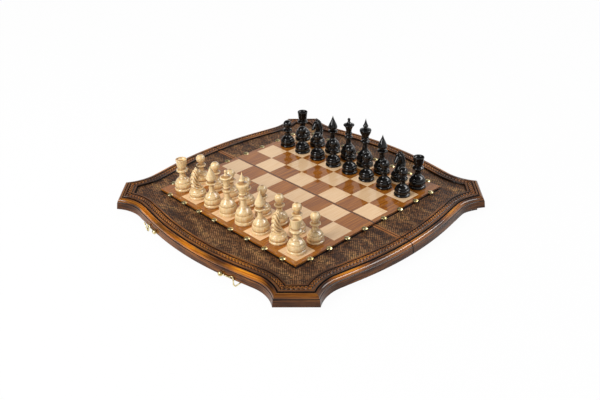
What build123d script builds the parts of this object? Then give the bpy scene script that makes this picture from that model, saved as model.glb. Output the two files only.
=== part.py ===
from build123d import *
from math import asin, cos, degrees, pi, sin, sqrt
import os

# Folding chess box, opened flat for play, with its thirty-two turned men.
#
# The box is two mirror-image trays hinged along the seam between ranks 4 and 5.
# Opened flat, the trays stand rim down and their backs make the playing board.
# Folded shut, the rims meet and the board faces outward.
#
# Frame: millimetres, +Z up, origin on the table under the middle of the seam.
# X runs along the seam, white plays from -Y and black from +Y.
# Insets are measured inwards from the outermost edge of the moulding, and drops
# are measured down from the top of the board.

# --- board ---------------------------------------------------------------------
square = 45.0            # one chess square
seam_edging = 2.9        # plain strip between the seam and the nearest squares
board_border = 9.0       # plain strip outside the squares
plate_thickness = 4.5    # the board stands this much proud of the carved field
plate_undercut = 2.5     # shadow rebate under the board's edge
plate_undercut_height = 1.5
inlay_depth = 1.0
inlay_joint = 0.1        # veneer line left between two inlays

# --- outline, one eighth of it: bulge, straight, hollow, cut corner -----------------
field_width = 59.5       # board edge to carved border at the crown of a side
bulge_radius = 650.0
corner_width = 118.0     # from the overall side to where the hollow begins
straight_run = 45.0      # between bulge and hollow, along the side
hollow_radius = 76.0
corner_rise = 70.0       # the flat of a corner lies this much further out than a crown
seam_gap = 0.3           # between the two halves, opened flat

# --- heights ---------------------------------------------------------------------------
total_height = 35.0      # table to board top
moulding_bottom = 10.5   # above the table
border_drop = 1.5
band_drop = 11.4         # top of the plain band
bullnose_drop = 3.7
groove_drop = 5.6
panel_thickness = 5.0

# --- frame section, insets -------------------------------------------------------------
frame_width = 31.5       # outer edge to the inside of the carved border
band_slope = 1.5         # the plain band leans in this much
quirk = 0.9              # small step between band and bullnose
bullnose_end = 9.7
groove_start = 10.2
groove_end = 11.9
border_start = 12.2
border_edge_ease = 0.6
rail_run_on = 0.04       # radians that a rail is swept past its mitre before the cut
corner_run_on = 22.0
mitre_insets = (-3.0, 8.0, 20.0, frame_width + 3.0)
mitre_outside = 40.0     # the mitre cuts reach this far past the crown of a side
mitre_inside = 90.0

# --- tray wall under the frame -----------------------------------------------------------
wall_inset = 12.0
wall_thickness = 14.0
lap_clearance = 0.4      # between the lapped lips when shut
spine_thickness = 14.0

# --- hinges -----------------------------------------------------------------------------
hinge_spacing = 240.0
hinge_length = 50.0
knuckle_radius = 2.0
knuckle_lift = 0.2       # knuckles clear the table by this much
knuckle_gap = 0.25
knuckle_count = 5
knuckle_clearance = 0.4  # round the knuckle in the spine
pin_radius = 1.0
pin_fit = 0.05           # radial clearance in the knuckles that turn
leaf_width = 11.0
leaf_thickness = 1.2
leaf_recess = 0.1        # leaf below the spine's rim
screw_head_radius = 1.9
screw_head_height = 1.0
screw_radius = 0.9
screw_fit = 0.05
screw_length = 9.0
screw_pitch = 17.0

# --- brass nails round the board ------------------------------------------------------
nail_head_radius = 5.6
nail_head_height = 2.6
nail_shank_radius = 0.9
nail_length = 9.0
nail_fit = 0.05

# --- latches ---------------------------------------------------------------------------
latch_spacing = 188.0    # between the two pivots
latch_height = 14.3      # pivots and studs above the table
post_radius = 1.8
post_fit = 0.05
post_depth = 9.0         # into the moulding
hook_standoff = 0.3      # moulding to the back of the hook
hook_play = 0.1          # hook to the head in front of it
hook_wire = 1.2          # radius of the hook's wire
hook_eye_radius = 4.2
hook_eye_thickness = 2.0
hook_arch = 3.6          # the bend that drops over the stud, and the shoulder before it
hook_curl = 3.0
hook_tail = 15.0
hook_tip_round = 0.8
hook_table_gap = 0.4     # curl above the table
knob_radius = 4.6
knob_height = 3.9
knob_edge = 0.2
stud_head_radius = 3.6
stud_head_height = 2.2
stud_head_edge = 1.0

# --- men -------------------------------------------------------------------------------
king_foot = 17.2
queen_foot = 16.8
queen_ball = 3.1
queen_ball_height = 85.5
bishop_foot = 16.4
rook_foot = 16.6
pawn_foot = 15.4
pawn_head = 8.8
pawn_head_height = 48.4
knight_foot = 16.4
knight_seat = 19.0       # top of the turned foot under a horse's neck
knight_seat_radius = 11.4

# --- worked out ------------------------------------------------------------------------
plate_half_width = 4 * square + board_border
plate_depth = seam_edging + 4 * square + board_border
half_width = plate_half_width + field_width + frame_width
straight_end = half_width - corner_width
bulge_half_length = straight_end - straight_run
corner_reach = half_width + corner_rise
border_top = total_height - border_drop
field_top = total_height - plate_thickness
panel_bottom = field_top - panel_thickness
fold_axis_height = knuckle_radius + knuckle_lift
lap_height = 2 * fold_axis_height
half_gap = seam_gap / 2
bulge_centre = half_width - bulge_radius
bulge_angle = asin(bulge_half_length / bulge_radius)
straight_length = straight_run / cos(bulge_angle)
hollow_centre = (
    straight_end + hollow_radius * sin(bulge_angle),
    bulge_centre
    + bulge_radius * cos(bulge_angle)
    - straight_length * sin(bulge_angle)
    + hollow_radius * cos(bulge_angle),
)
halves = (("white", -1), ("black", 1))

os.makedirs("parts", exist_ok=True)


def save(builder, label):
    builder.part.label = label
    export_step(builder.part, f"parts/{label}.step")


# --- the serpentine outline -------------------------------------------------------------
def hollow_angle(inset):
    """Angle of the hollow where it meets the cut corner, at an inset."""
    reach = (corner_reach - inset) * sqrt(2)
    lift = (reach - hollow_centre[0] - hollow_centre[1]) / (hollow_radius + inset)
    return pi / 4 + asin(lift / sqrt(2))


def on_bulge(inset, angle):
    radius = bulge_radius - inset
    return (radius * sin(angle), bulge_centre + radius * cos(angle))


def on_hollow(inset, angle):
    radius = hollow_radius + inset
    return (hollow_centre[0] + radius * sin(angle), hollow_centre[1] - radius * cos(angle))


def corner_tip(inset):
    return on_hollow(inset, hollow_angle(inset))


def front(point, side):
    """A point of the eighth outline on the edge that faces a player."""
    return (point[0], side * point[1])


def flank(point, side):
    """The same point on the edge at +X, which the seam divides."""
    return (point[1], side * point[0])


def mirrored(point):
    return (-point[0], point[1])


def eighth(inset, place, side, start_angle, end_angle):
    """Bulge, straight and hollow as curves, from the side's middle to its tip."""
    bulge = [place(on_bulge(inset, a), side) for a in
             (start_angle, (start_angle + bulge_angle) / 2, bulge_angle)]
    hollow = [place(on_hollow(inset, a), side) for a in
              (-bulge_angle, (end_angle - bulge_angle) / 2, end_angle)]
    return bulge, hollow


def draw_eighth(curves, flip):
    """Draw one eighth; flip puts it on the -X side."""
    bulge, hollow = [[mirrored(p) if flip else p for p in arc] for arc in curves]
    ThreePointArc(*bulge)
    Line(bulge[2], hollow[0])
    ThreePointArc(*hollow)


def half_face(inset, side):
    """Face of one half of the box inside the outline at an inset."""
    tip_angle = hollow_angle(inset)
    seam_angle = asin(half_gap / (bulge_radius - inset))
    for flip in (False, True):
        facing = eighth(inset, front, side, 0, tip_angle)
        beside = eighth(inset, flank, side, seam_angle, tip_angle)
        draw_eighth(facing, flip)
        draw_eighth(beside, flip)
        tips = [facing[1][2], beside[1][2]]
        Line(*[mirrored(p) if flip else p for p in tips])
    seam_end = flank(on_bulge(inset, seam_angle), side)
    Line(seam_end, mirrored(seam_end))


def half_sketch(plane, inset, side):
    with BuildSketch(plane) as outline:
        with BuildLine():
            half_face(inset, side)
        make_face()
    return outline.sketch


# --- the moulded frame --------------------------------------------------------------------
def frame_section(plane):
    """Band, quirk, bullnose, groove and flat border; local X is the inset."""
    with BuildSketch(plane) as section:
        with BuildLine():
            band_edge = (band_slope, total_height - band_drop)
            nose_start = (band_edge[0] + quirk, band_edge[1] + quirk)
            nose_end = (bullnose_end, total_height - bullnose_drop)
            nose_middle = (
                nose_start[0] + 0.28 * (nose_end[0] - nose_start[0]),
                nose_start[1] + 0.72 * (nose_end[1] - nose_start[1]),
            )
            groove_bottom = total_height - groove_drop
            Polyline((0, moulding_bottom), band_edge, nose_start)
            ThreePointArc(nose_start, nose_middle, nose_end)
            Polyline(
                nose_end,
                (groove_start, groove_bottom),
                (groove_end, groove_bottom),
                (border_start, border_top - border_edge_ease),
                (border_start + border_edge_ease, border_top),
                (frame_width, border_top),
                (frame_width, moulding_bottom),
                (0, moulding_bottom),
            )
        make_face()
    return section.sketch


def section_plane(point, inward):
    origin = Vector(point[0], point[1], 0)
    x_dir = Vector(inward[0], inward[1], 0)
    return Plane(origin=origin, x_dir=x_dir, z_dir=x_dir.cross(Vector(0, 0, 1)))


mitre_outer = half_width + mitre_outside
mitre_inner = half_width - mitre_inside


def mitre(place, side):
    """Points along the mitre at a corner, outermost first."""
    return [place(corner_tip(inset), side) for inset in mitre_insets]


def front_cell(side):
    """Plan region that belongs to the rail facing a player."""
    right = mitre(front, side)
    left = [mirrored(p) for p in right]
    Spline(*right)
    Polyline(right[-1], (right[-1][0], side * mitre_inner),
             (left[-1][0], side * mitre_inner), left[-1])
    Spline(*left)
    Polyline(left[0], (left[0][0], side * mitre_outer),
             (right[0][0], side * mitre_outer), right[0])


def flank_cell(side):
    """Plan region of the +X rail, from the seam to its mitre."""
    edge = mitre(flank, side)
    Spline(*edge)
    Polyline(edge[-1], (mitre_inner, edge[-1][1]), (mitre_inner, side * half_gap),
             (mitre_outer, side * half_gap), (mitre_outer, edge[0][1]), edge[0])


def corner_cell(side):
    """Plan region of the short rail across the +X corner."""
    facing = mitre(front, side)
    beside = mitre(flank, side)
    Spline(*facing)
    Line(facing[-1], beside[-1])
    Spline(*beside)
    Polyline(beside[0], (mitre_outer, side * mitre_outer), facing[0])


def trim(cell, side):
    """Keep what stands over a plan region."""
    with BuildSketch() as region:
        with BuildLine():
            cell(side)
        make_face()
    extrude(region.sketch, amount=total_height, mode=Mode.INTERSECT)


def rail_pair(place, side, start_angle, point, inward):
    """Sweep the section along an eighth and mirror it to the other side."""
    reach = hollow_angle(0) + rail_run_on
    with BuildLine() as path:
        draw_eighth(eighth(0, place, side, start_angle, reach), False)
    sweep(frame_section(section_plane(point, inward)), path=path.line)
    mirror(about=Plane.YZ)


def front_rail(label, side):
    with BuildPart() as rail:
        rail_pair(front, side, 0, (0, side * half_width), (0, -side))
        trim(front_cell, side)
        for hand in (-1, 1):
            plane = latch_plane(side, hand)
            with Locations(plane.offset(-post_depth / 2)):
                Cylinder(post_radius + post_fit, post_depth, mode=Mode.SUBTRACT)
    save(rail, label)


def side_rails(label, side):
    with BuildPart() as rails:
        rail_pair(flank, side, 0, (half_width, 0), (-1, 0))
        trim(flank_cell, side)
        mirror(about=Plane.YZ)
    save(rails, label)


def corner_rails(label, side):
    tip = corner_tip(0)
    half_length = (tip[1] - tip[0]) / sqrt(2) + corner_run_on
    with BuildPart() as rails:
        outward = Vector(1, side, 0) / sqrt(2)
        flat = outward * corner_reach
        section = frame_section(section_plane((flat.X, flat.Y), (-outward.X, -outward.Y)))
        extrude(section, amount=half_length, both=True)
        trim(corner_cell, side)
        mirror(about=Plane.YZ)
    save(rails, label)


# --- trays ----------------------------------------------------------------------------------
def tray_wall(label, side):
    """The wall under the frame. White's lower lip is the inner one, black's the outer."""
    middle = wall_inset + wall_thickness / 2
    lip = ((middle + lap_clearance / 2, wall_inset + wall_thickness) if side < 0
           else (wall_inset, middle - lap_clearance / 2))
    inside = wall_inset + wall_thickness
    with BuildPart() as wall:
        above = Plane.XY.offset(lap_height)
        upper = moulding_bottom - lap_height
        extrude(half_sketch(above, wall_inset, side), amount=upper)
        extrude(half_sketch(above, inside, side), amount=upper, mode=Mode.SUBTRACT)
        extrude(half_sketch(Plane.XY, lip[0], side), amount=lap_height)
        extrude(half_sketch(Plane.XY, lip[1], side), amount=lap_height, mode=Mode.SUBTRACT)
    save(wall, label)


def spine(label, side):
    """Wall along the seam, on top of the fold axis, with its hinge mortises."""
    with BuildPart() as wall:
        inside_wall = wall_inset + wall_thickness
        for bottom, top, inset in (
            (fold_axis_height, moulding_bottom, inside_wall),
            (moulding_bottom, panel_bottom, frame_width),
        ):
            with BuildSketch(Plane.XY.offset(bottom)):
                with BuildLine():
                    half_face(inset, side)
                make_face()
                with Locations((0, side * spine_thickness / 2)):
                    Rectangle(2 * half_width, spine_thickness, mode=Mode.INTERSECT)
            extrude(amount=top - bottom)
        for x in hinge_places:
            with Locations((x, 0, fold_axis_height)):
                Cylinder(knuckle_radius + knuckle_clearance, hinge_length + 2 * knuckle_clearance,
                         rotation=(0, 90, 0), mode=Mode.SUBTRACT)
            with Locations((x, side * leaf_width / 2, fold_axis_height + mortise_depth / 2)):
                Box(hinge_length, leaf_width, mortise_depth, mode=Mode.SUBTRACT)
        for x, y in hinge_screw_places(side):
            with Locations((x, y, leaf_bottom + screw_length / 2)):
                Cylinder(screw_radius + screw_fit, screw_length, mode=Mode.SUBTRACT)
    save(wall, label)


def field_panel(label, side):
    """Panel carrying the carved field, let into the frame over the spine."""
    with BuildPart() as panel:
        outline = half_sketch(Plane.XY.offset(panel_bottom), frame_width, side)
        extrude(outline, amount=panel_thickness)
        with BuildSketch(Plane.XY.offset(field_top)):
            with Locations(*nail_places(side)):
                Circle(nail_shank_radius + nail_fit)
        extrude(amount=-(nail_length - plate_thickness), mode=Mode.SUBTRACT)
    save(panel, label)


def square_centre(file, rank):
    """File and rank count from 0; the two middle ranks are parted by the seam."""
    side = -1 if rank < 4 else 1
    from_seam = 3 - rank if rank < 4 else rank - 4
    return ((file - 3.5) * square, side * (seam_edging + (from_seam + 0.5) * square))


def light_squares_of(side):
    ranks = range(4) if side < 0 else range(4, 8)
    return [square_centre(f, r) for f in range(8) for r in ranks if (f + r) % 2]


def board_plate(label, side):
    with BuildPart() as plate:
        depth = plate_depth - half_gap
        middle = side * (half_gap + depth / 2)
        with BuildSketch(Plane.XY.offset(field_top + plate_undercut_height)):
            with Locations((0, middle)):
                Rectangle(2 * plate_half_width, depth)
        extrude(amount=plate_thickness - plate_undercut_height)
        with BuildSketch(Plane.XY.offset(field_top)):
            with Locations((0, middle - side * plate_undercut / 2)):
                Rectangle(2 * (plate_half_width - plate_undercut), depth - plate_undercut)
        extrude(amount=plate_undercut_height)
        with BuildSketch(Plane.XY.offset(total_height)):
            with Locations(*light_squares_of(side)):
                Rectangle(square - inlay_joint, square - inlay_joint)
        extrude(amount=-inlay_depth, mode=Mode.SUBTRACT)
    save(plate, label)


def light_squares(label, side):
    with BuildPart() as inlays:
        with BuildSketch(Plane.XY.offset(total_height)):
            with Locations(*light_squares_of(side)):
                Rectangle(square - inlay_joint, square - inlay_joint)
        extrude(amount=-inlay_depth)
    save(inlays, label)


def nail_places(side):
    """One nail beside the middle of each square on the board's edge."""
    clear = nail_shank_radius + nail_fit
    ranks = range(4) if side < 0 else range(4, 8)
    facing = [(square_centre(f, 0)[0], side * (plate_depth + clear)) for f in range(8)]
    beside = [(x * (plate_half_width + clear), square_centre(0, r)[1])
              for r in ranks for x in (-1, 1)]
    return facing + beside


def cap_radius(base_radius, height):
    return (base_radius ** 2 + height ** 2) / (2 * height)


def nails(label, side):
    dome = cap_radius(nail_head_radius, nail_head_height)
    with BuildPart() as studs:
        rise = dome - nail_head_height
        with Locations(*[(x, y, total_height - rise) for x, y in nail_places(side)]):
            Sphere(dome, arc_size1=degrees(asin(rise / dome)), arc_size2=90,
                   align=(Align.CENTER, Align.CENTER, Align.NONE))
        with Locations(*[(x, y, total_height - nail_length / 2) for x, y in nail_places(side)]):
            Cylinder(nail_shank_radius, nail_length)
    save(studs, label)


# --- hinges ------------------------------------------------------------------------------------
hinge_places = (-hinge_spacing / 2, hinge_spacing / 2)
leaf_bottom = fold_axis_height + leaf_recess
mortise_depth = leaf_recess + leaf_thickness
knuckle_pitch = (hinge_length + knuckle_gap) / knuckle_count
leaf_start = knuckle_radius + knuckle_gap    # clear of the other half's knuckles
screw_line = (leaf_start + leaf_width) / 2


def hinge_screw_places(side):
    return [(x + k * screw_pitch, side * screw_line) for x in hinge_places for k in (-1, 0, 1)]


def knuckle_middles(side):
    """Middles of the knuckles on one leaf: white has the outer ones."""
    first = 0 if side < 0 else 1
    return [(k - (knuckle_count - 1) / 2) * knuckle_pitch
            for k in range(first, knuckle_count, 2)]


def hinge_leaves(label, side):
    bore = pin_radius + (0 if side < 0 else pin_fit)
    with BuildPart() as leaves:
        for x in hinge_places:
            width = leaf_width - leaf_start
            with Locations((x, side * (leaf_start + width / 2), leaf_bottom + leaf_thickness / 2)):
                Box(hinge_length, width, leaf_thickness)
            for offset in knuckle_middles(side):
                length = knuckle_pitch - knuckle_gap
                with Locations((x + offset, 0, fold_axis_height)):
                    Cylinder(knuckle_radius, length, rotation=(0, 90, 0))
                with Locations((x + offset, side * leaf_start / 2, leaf_bottom + leaf_thickness / 2)):
                    Box(length, leaf_start, leaf_thickness)
            with Locations((x, 0, fold_axis_height)):
                Cylinder(bore, hinge_length, rotation=(0, 90, 0), mode=Mode.SUBTRACT)
        for x, y in hinge_screw_places(side):
            with Locations((x, y, leaf_bottom + screw_head_height / 2)):
                Cone(screw_head_radius + screw_fit, screw_radius + screw_fit, screw_head_height,
                     mode=Mode.SUBTRACT)
            with Locations((x, y, leaf_bottom + leaf_thickness / 2)):
                Cylinder(screw_radius + screw_fit, leaf_thickness, mode=Mode.SUBTRACT)
    save(leaves, label)


def hinge_screws(label, side):
    with BuildPart() as screws:
        for x, y in hinge_screw_places(side):
            with Locations((x, y, leaf_bottom + screw_head_height / 2)):
                Cone(screw_head_radius, screw_radius, screw_head_height)
            with Locations((x, y, leaf_bottom + screw_length / 2)):
                Cylinder(screw_radius, screw_length)
    save(screws, label)


def hinge_pins():
    with BuildPart() as pins:
        with Locations(*[(x, 0, fold_axis_height) for x in hinge_places]):
            Cylinder(pin_radius, hinge_length, rotation=(0, 90, 0))
    save(pins, "hinge_pins")


# --- latches ------------------------------------------------------------------------------------
latch_angle = asin(latch_spacing / 2 / bulge_radius)
hook_middle = hook_standoff + hook_wire
head_back = hook_middle + hook_wire + hook_play
hook_reach = 2 * latch_height - lap_height    # straight down to the stud when shut


def latch_plane(side, hand):
    """Plane on the moulding at a pivot or stud: X along the side, Z outward."""
    angle = hand * latch_angle
    point = front(on_bulge(0, angle), side)
    return Plane(
        origin=(point[0], point[1], latch_height),
        x_dir=(cos(angle), -side * sin(angle), 0),
        z_dir=(sin(angle), side * cos(angle), 0),
    )


def headed_posts(label, side, head_radius, head_edge, head_height):
    """Screws with domed heads that stand proud of the moulding."""
    crown = head_back + head_height
    dome = cap_radius(head_radius, head_height - head_edge)
    middle = asin(min(head_radius / dome, 1)) / 2
    with BuildPart() as posts:
        for hand in (-1, 1):
            place = latch_plane(side, hand)
            with BuildSketch(Plane(place.origin, x_dir=place.x_dir, z_dir=-place.y_dir)) as half:
                with BuildLine():
                    Polyline((0, crown), (0, -post_depth), (post_radius, -post_depth),
                             (post_radius, head_back), (head_radius, head_back),
                             (head_radius, head_back + head_edge))
                    ThreePointArc(
                        (head_radius, head_back + head_edge),
                        (dome * sin(middle), crown - dome + dome * cos(middle)),
                        (0, crown),
                    )
                make_face()
            revolve(half.sketch, axis=Axis(place.origin, place.z_dir))
    save(posts, label)


def latch_hook(label, hand):
    """Bent wire: eye, arm, an arch that drops over the stud, a finger curl and a tail."""
    place = latch_plane(-1, hand).offset(hook_middle)
    shoulder = hook_reach - 2 * hook_arch * sin(pi / 3)
    leg = hook_reach + hook_arch
    curl = hook_table_gap + hook_wire + hook_curl - latch_height
    turned = hook_curl * sin(pi / 4)
    tail = (leg + hook_curl + turned, curl - turned)
    run = hook_tail * cos(pi / 4)
    bends = (
        ((post_radius + hook_wire, 0), (shoulder, 0)),
        ((shoulder, 0), (shoulder + hook_arch * sin(pi / 6), hook_arch * (1 - cos(pi / 6))),
         (shoulder + hook_arch * sin(pi / 3), hook_arch / 2)),
        ((shoulder + hook_arch * sin(pi / 3), hook_arch / 2), (hook_reach, hook_arch), (leg, 0)),
        ((leg, 0), (leg, curl)),
        ((leg, curl), (leg + hook_curl * (1 - cos(3 * pi / 8)), curl - hook_curl * sin(3 * pi / 8)),
         tail),
        (tail, (tail[0] + run, tail[1] + run)),
    )
    with BuildPart() as hook:
        with BuildLine(place) as path:
            for bend in bends:
                points = [(hand * x, y) for x, y in bend]
                if len(points) == 2:
                    Line(*points)
                else:
                    ThreePointArc(*points)
        with BuildSketch(Plane(path.line @ 0, z_dir=path.line % 0)) as wire:
            Circle(hook_wire)
        sweep(wire.sketch, path=path.line)
        with Locations(place):
            Cylinder(hook_eye_radius, hook_eye_thickness)
            Cylinder(post_radius + post_fit, hook_eye_thickness, mode=Mode.SUBTRACT)
        tip = hook.edges().filter_by(GeomType.CIRCLE).sort_by_distance(path.line @ 1)[0]
        fillet(tip, hook_tip_round)
    save(hook, label)


# --- men ------------------------------------------------------------------------------------------
def turn(profile):
    """Draw a turning's profile: points, arcs through a point, or two-handle curves."""
    last = (0, 0)
    for step in profile:
        if len(step) == 2:
            Line(last, step)
        elif len(step) == 4:
            ThreePointArc(last, step[:2], step[2:])
        else:
            Bezier(last, step[:2], step[2:4], step[4:])
        last = step[-2:]
    Line(last, (0, 0))


def foot(radius, neck, height, ring, waist):
    """Two rings, one above the other, and the bell that every man shares."""
    swell = waist + 0.45 * (height - waist)
    return [
        (radius - 0.6, 0),
        (radius, 0.7),
        (radius + 0.2, 0.5 * ring, radius - 0.8, ring - 0.7),
        (radius - 1.8, ring),
        (radius - 1.8, ring + 0.6),
        (radius - 0.5, (ring + waist) / 2, radius - 1.8, waist - 0.5),
        (radius - 2.8, waist),
        (radius - 2.6, swell, neck, swell, neck, height),
    ]


king = foot(king_foot, 5.0, 41.0, 7.0, 19.0) + [
    (4.8, 47.0), (6.0, 49.0), (8.9, 51.0, 6.6, 53.4), (5.6, 54.6), (5.5, 57.0),
    (7.8, 58.6, 6.4, 60.4), (6.8, 66.0, 11.0, 69.0, 11.6, 75.0), (11.6, 77.0, 9.6, 78.2),
    (3.8, 80.4), (3.2, 82.4), (5.3, 84.4, 4.6, 87.2), (2.6, 91.0, 0.9, 97.0, 0, 102.0),
]
queen_nape = (2.2, queen_ball_height - sqrt(queen_ball ** 2 - 2.2 ** 2))
queen = foot(queen_foot, 4.9, 38.5, 6.4, 18.0) + [
    (4.6, 43.5), (5.6, 45.4), (8.2, 47.4, 6.0, 49.6), (5.2, 50.8), (5.2, 53.2),
    (7.4, 55.0, 5.8, 57.0), (5.2, 62.0, 6.4, 69.0, 11.0, 73.0), (11.2, 73.8, 10.6, 74.8),
    (6.6, 76.0, 3.0, 78.4, *queen_nape),
    (queen_ball, queen_ball_height, 0, queen_ball_height + queen_ball),
]
bishop = foot(bishop_foot, 4.8, 34.0, 5.4, 16.0) + [
    (4.6, 40.0), (5.4, 41.8), (9.4, 44.6), (10.2, 46.0, 9.0, 47.4), (5.4, 49.2), (5.2, 50.8),
    (9.3, 54.4, 8.8, 58.6), (7.4, 64.0, 2.2, 72.0, 0, 81.0),
]
rook = foot(rook_foot, 5.8, 30.0, 5.6, 16.4) + [
    (5.6, 34.0), (6.6, 35.6), (9.8, 38.0), (11.0, 40.2, 9.8, 42.6), (7.6, 44.4), (7.6, 45.8),
    (9.4, 47.6, 9.4, 54.0, 10.6, 62.4), (10.2, 63.4, 9.2, 62.8), (8.6, 59.6, 5.0, 58.0, 0, 57.8),
]
pawn_nape = (5.2, pawn_head_height - sqrt(pawn_head ** 2 - 5.2 ** 2))
pawn = foot(pawn_foot, 5.2, 26.0, 4.8, 14.4) + [
    (5.0, 29.5), (6.0, 31.4), (8.6, 33.4), (9.6, 34.9, 8.4, 36.4), (5.4, 38.4), pawn_nape,
    (pawn_head, pawn_head_height, 0, pawn_head_height + pawn_head),
]
knight = foot(knight_foot, knight_seat_radius, 18.0, 5.2, 13.4) + [
    (knight_seat_radius, knight_seat), (0, knight_seat),
]

back_rank = ("rook", "knight", "bishop", "queen", "king", "bishop", "knight", "rook")
profiles = {"king": king, "queen": queen, "bishop": bishop, "knight": knight, "rook": rook,
            "pawn": pawn}


def horse_outline(facing):
    """Head and neck seen from the side, in forward and upward distances."""
    def place(points):
        return [(facing * f, z) for f, z in points]

    start = knight_seat - 1
    Spline(*place([(-9.5, start), (-12.2, 29.0), (-10.6, 43.0), (-4.6, 54.0), (-0.6, 58.0)]))
    Polyline(*place([(-0.6, 58.0), (0.8, 61.8), (3.4, 57.0)]))
    Spline(*place([(3.4, 57.0), (8.4, 52.0), (12.8, 44.6), (15.4, 39.6)]))
    Spline(*place([(15.4, 39.6), (15.0, 36.6), (11.6, 35.6), (7.0, 37.6), (3.4, 36.4)]))
    Spline(*place([(3.4, 36.4), (4.2, 30.0), (8.4, 24.0), (9.5, start)]))
    Line(*place([(9.5, start), (-9.5, start)]))


def horse_front():
    """Head and neck seen from the front, narrowing to the ears."""
    Polyline((-9.0, 0), (9.0, 0), (8.6, 24.0), (6.6, 34.0), (6.2, 48.0), (4.0, 62.0),
             (-4.0, 62.0), (-6.2, 48.0), (-6.6, 34.0), (-8.6, 24.0), (-9.0, 0))


def horse_head(stand, facing):
    with BuildPart() as head:
        with BuildSketch(Plane(origin=stand, x_dir=(0, 1, 0), z_dir=(1, 0, 0))):
            with BuildLine():
                horse_outline(facing)
            make_face()
        extrude(amount=knight_foot, both=True)
        with BuildSketch(Plane(origin=stand, x_dir=(1, 0, 0), z_dir=(0, -1, 0))):
            with BuildLine():
                horse_front()
            make_face()
        extrude(amount=knight_foot, both=True, mode=Mode.INTERSECT)
    return head.part


def man(kind, colour, file, rank):
    """One man standing on its square; pawns and pairs are told apart by their file."""
    stand = Vector(*square_centre(file, rank), total_height)
    head = horse_head(stand, 1 if rank < 4 else -1) if kind == "knight" else None
    with BuildPart() as piece:
        with BuildSketch(Plane(origin=stand, x_dir=(1, 0, 0), z_dir=(0, -1, 0))):
            with BuildLine():
                turn(profiles[kind])
            make_face()
        revolve(axis=Axis(stand, (0, 0, 1)))
        if head:
            add(head)
    alone = kind in ("king", "queen")
    save(piece, f"{colour}_{kind}" if alone else f"{colour}_{kind}_{'abcdefgh'[file]}")


# --- the whole set -----------------------------------------------------------------------------------
for colour, side in halves:
    front_rail(f"{colour}_front_rail", side)
    side_rails(f"{colour}_side_rails", side)
    corner_rails(f"{colour}_corner_rails", side)
    tray_wall(f"{colour}_tray_wall", side)
    spine(f"{colour}_spine", side)
    field_panel(f"{colour}_field_panel", side)
    board_plate(f"{colour}_board_plate", side)
    light_squares(f"{colour}_light_squares", side)
    nails(f"{colour}_nails", side)
    hinge_leaves(f"{colour}_hinge_leaves", side)
    hinge_screws(f"{colour}_hinge_screws", side)
hinge_pins()
headed_posts("latch_posts", -1, knob_radius, knob_edge, knob_height)
headed_posts("latch_studs", 1, stud_head_radius, stud_head_edge, stud_head_height)
latch_hook("latch_hook_left", -1)
latch_hook("latch_hook_right", 1)
for file, kind in enumerate(back_rank):
    man(kind, "white", file, 0)
    man("pawn", "white", file, 1)
    man("pawn", "black", file, 6)
    man(kind, "black", file, 7)
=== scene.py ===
from math import asin, cos, pi, radians, sin, sqrt

import bpy
import numpy as np
from mathutils import Matrix, Vector


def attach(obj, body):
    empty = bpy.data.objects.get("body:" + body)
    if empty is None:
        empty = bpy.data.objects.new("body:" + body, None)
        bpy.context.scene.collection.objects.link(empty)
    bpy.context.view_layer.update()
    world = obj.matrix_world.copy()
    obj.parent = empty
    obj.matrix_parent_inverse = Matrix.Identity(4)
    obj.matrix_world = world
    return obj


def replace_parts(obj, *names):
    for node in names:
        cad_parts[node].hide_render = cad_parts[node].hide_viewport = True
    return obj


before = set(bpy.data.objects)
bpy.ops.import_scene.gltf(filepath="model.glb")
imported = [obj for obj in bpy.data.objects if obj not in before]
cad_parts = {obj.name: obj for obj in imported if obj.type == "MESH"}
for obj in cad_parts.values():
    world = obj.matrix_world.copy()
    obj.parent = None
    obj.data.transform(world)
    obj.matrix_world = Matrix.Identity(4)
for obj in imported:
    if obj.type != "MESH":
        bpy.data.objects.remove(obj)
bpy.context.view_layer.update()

# A folding chess box, opened flat, with its thirty-two turned men. Lengths are in
# millimetres until a mesh is made. X runs along the seam, white plays from -Y.

# --- The moulded rails ----------------------------------------------------------------
# Walnut run on a spindle moulder to a serpentine line: a plain band, a bullnose, a groove
# and a flat top carved with a three-strand plait. Eight lengths are mitred together at the
# cut corners, sawn through at the seam, stained and brush lacquered.
bulge_radius, bulge_centre = 650.0, -370.0
bulge_angle = asin(117.0 / bulge_radius)
straight = 45.0 / cos(bulge_angle)
hollow_radius = 76.0
hollow_x = 162.0 + hollow_radius * sin(bulge_angle)
hollow_y = (bulge_centre + (bulge_radius + hollow_radius) * cos(bulge_angle)
            - straight * sin(bulge_angle))
corner_reach = 350.0
half_gap = 0.15
frame_width = 31.5


def outline(inset, place, sawn=False):
    """Point of the serpentine edge at an inset: place 0 is the middle of a side, or its
    sawn end at the seam, and 3 its mitre."""
    if place <= 1:
        start = np.arcsin(half_gap / (bulge_radius - inset)) if sawn else 0 * inset
        angle = start + place * (bulge_angle - start)
        return ((bulge_radius - inset) * np.sin(angle),
                bulge_centre + (bulge_radius - inset) * np.cos(angle))
    if place <= 2:
        run = (place - 1) * straight
        return ((bulge_radius - inset) * sin(bulge_angle) + run * cos(bulge_angle),
                bulge_centre + (bulge_radius - inset) * cos(bulge_angle)
                - run * sin(bulge_angle))
    reach = (corner_reach - inset) * sqrt(2)
    radius = hollow_radius + inset
    mitre = pi / 4 + np.arcsin((reach - hollow_x - hollow_y) / radius / sqrt(2))
    angle = -bulge_angle + (place - 2) * (mitre + bulge_angle)
    return hollow_x + radius * np.sin(angle), hollow_y - radius * np.cos(angle)


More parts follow.
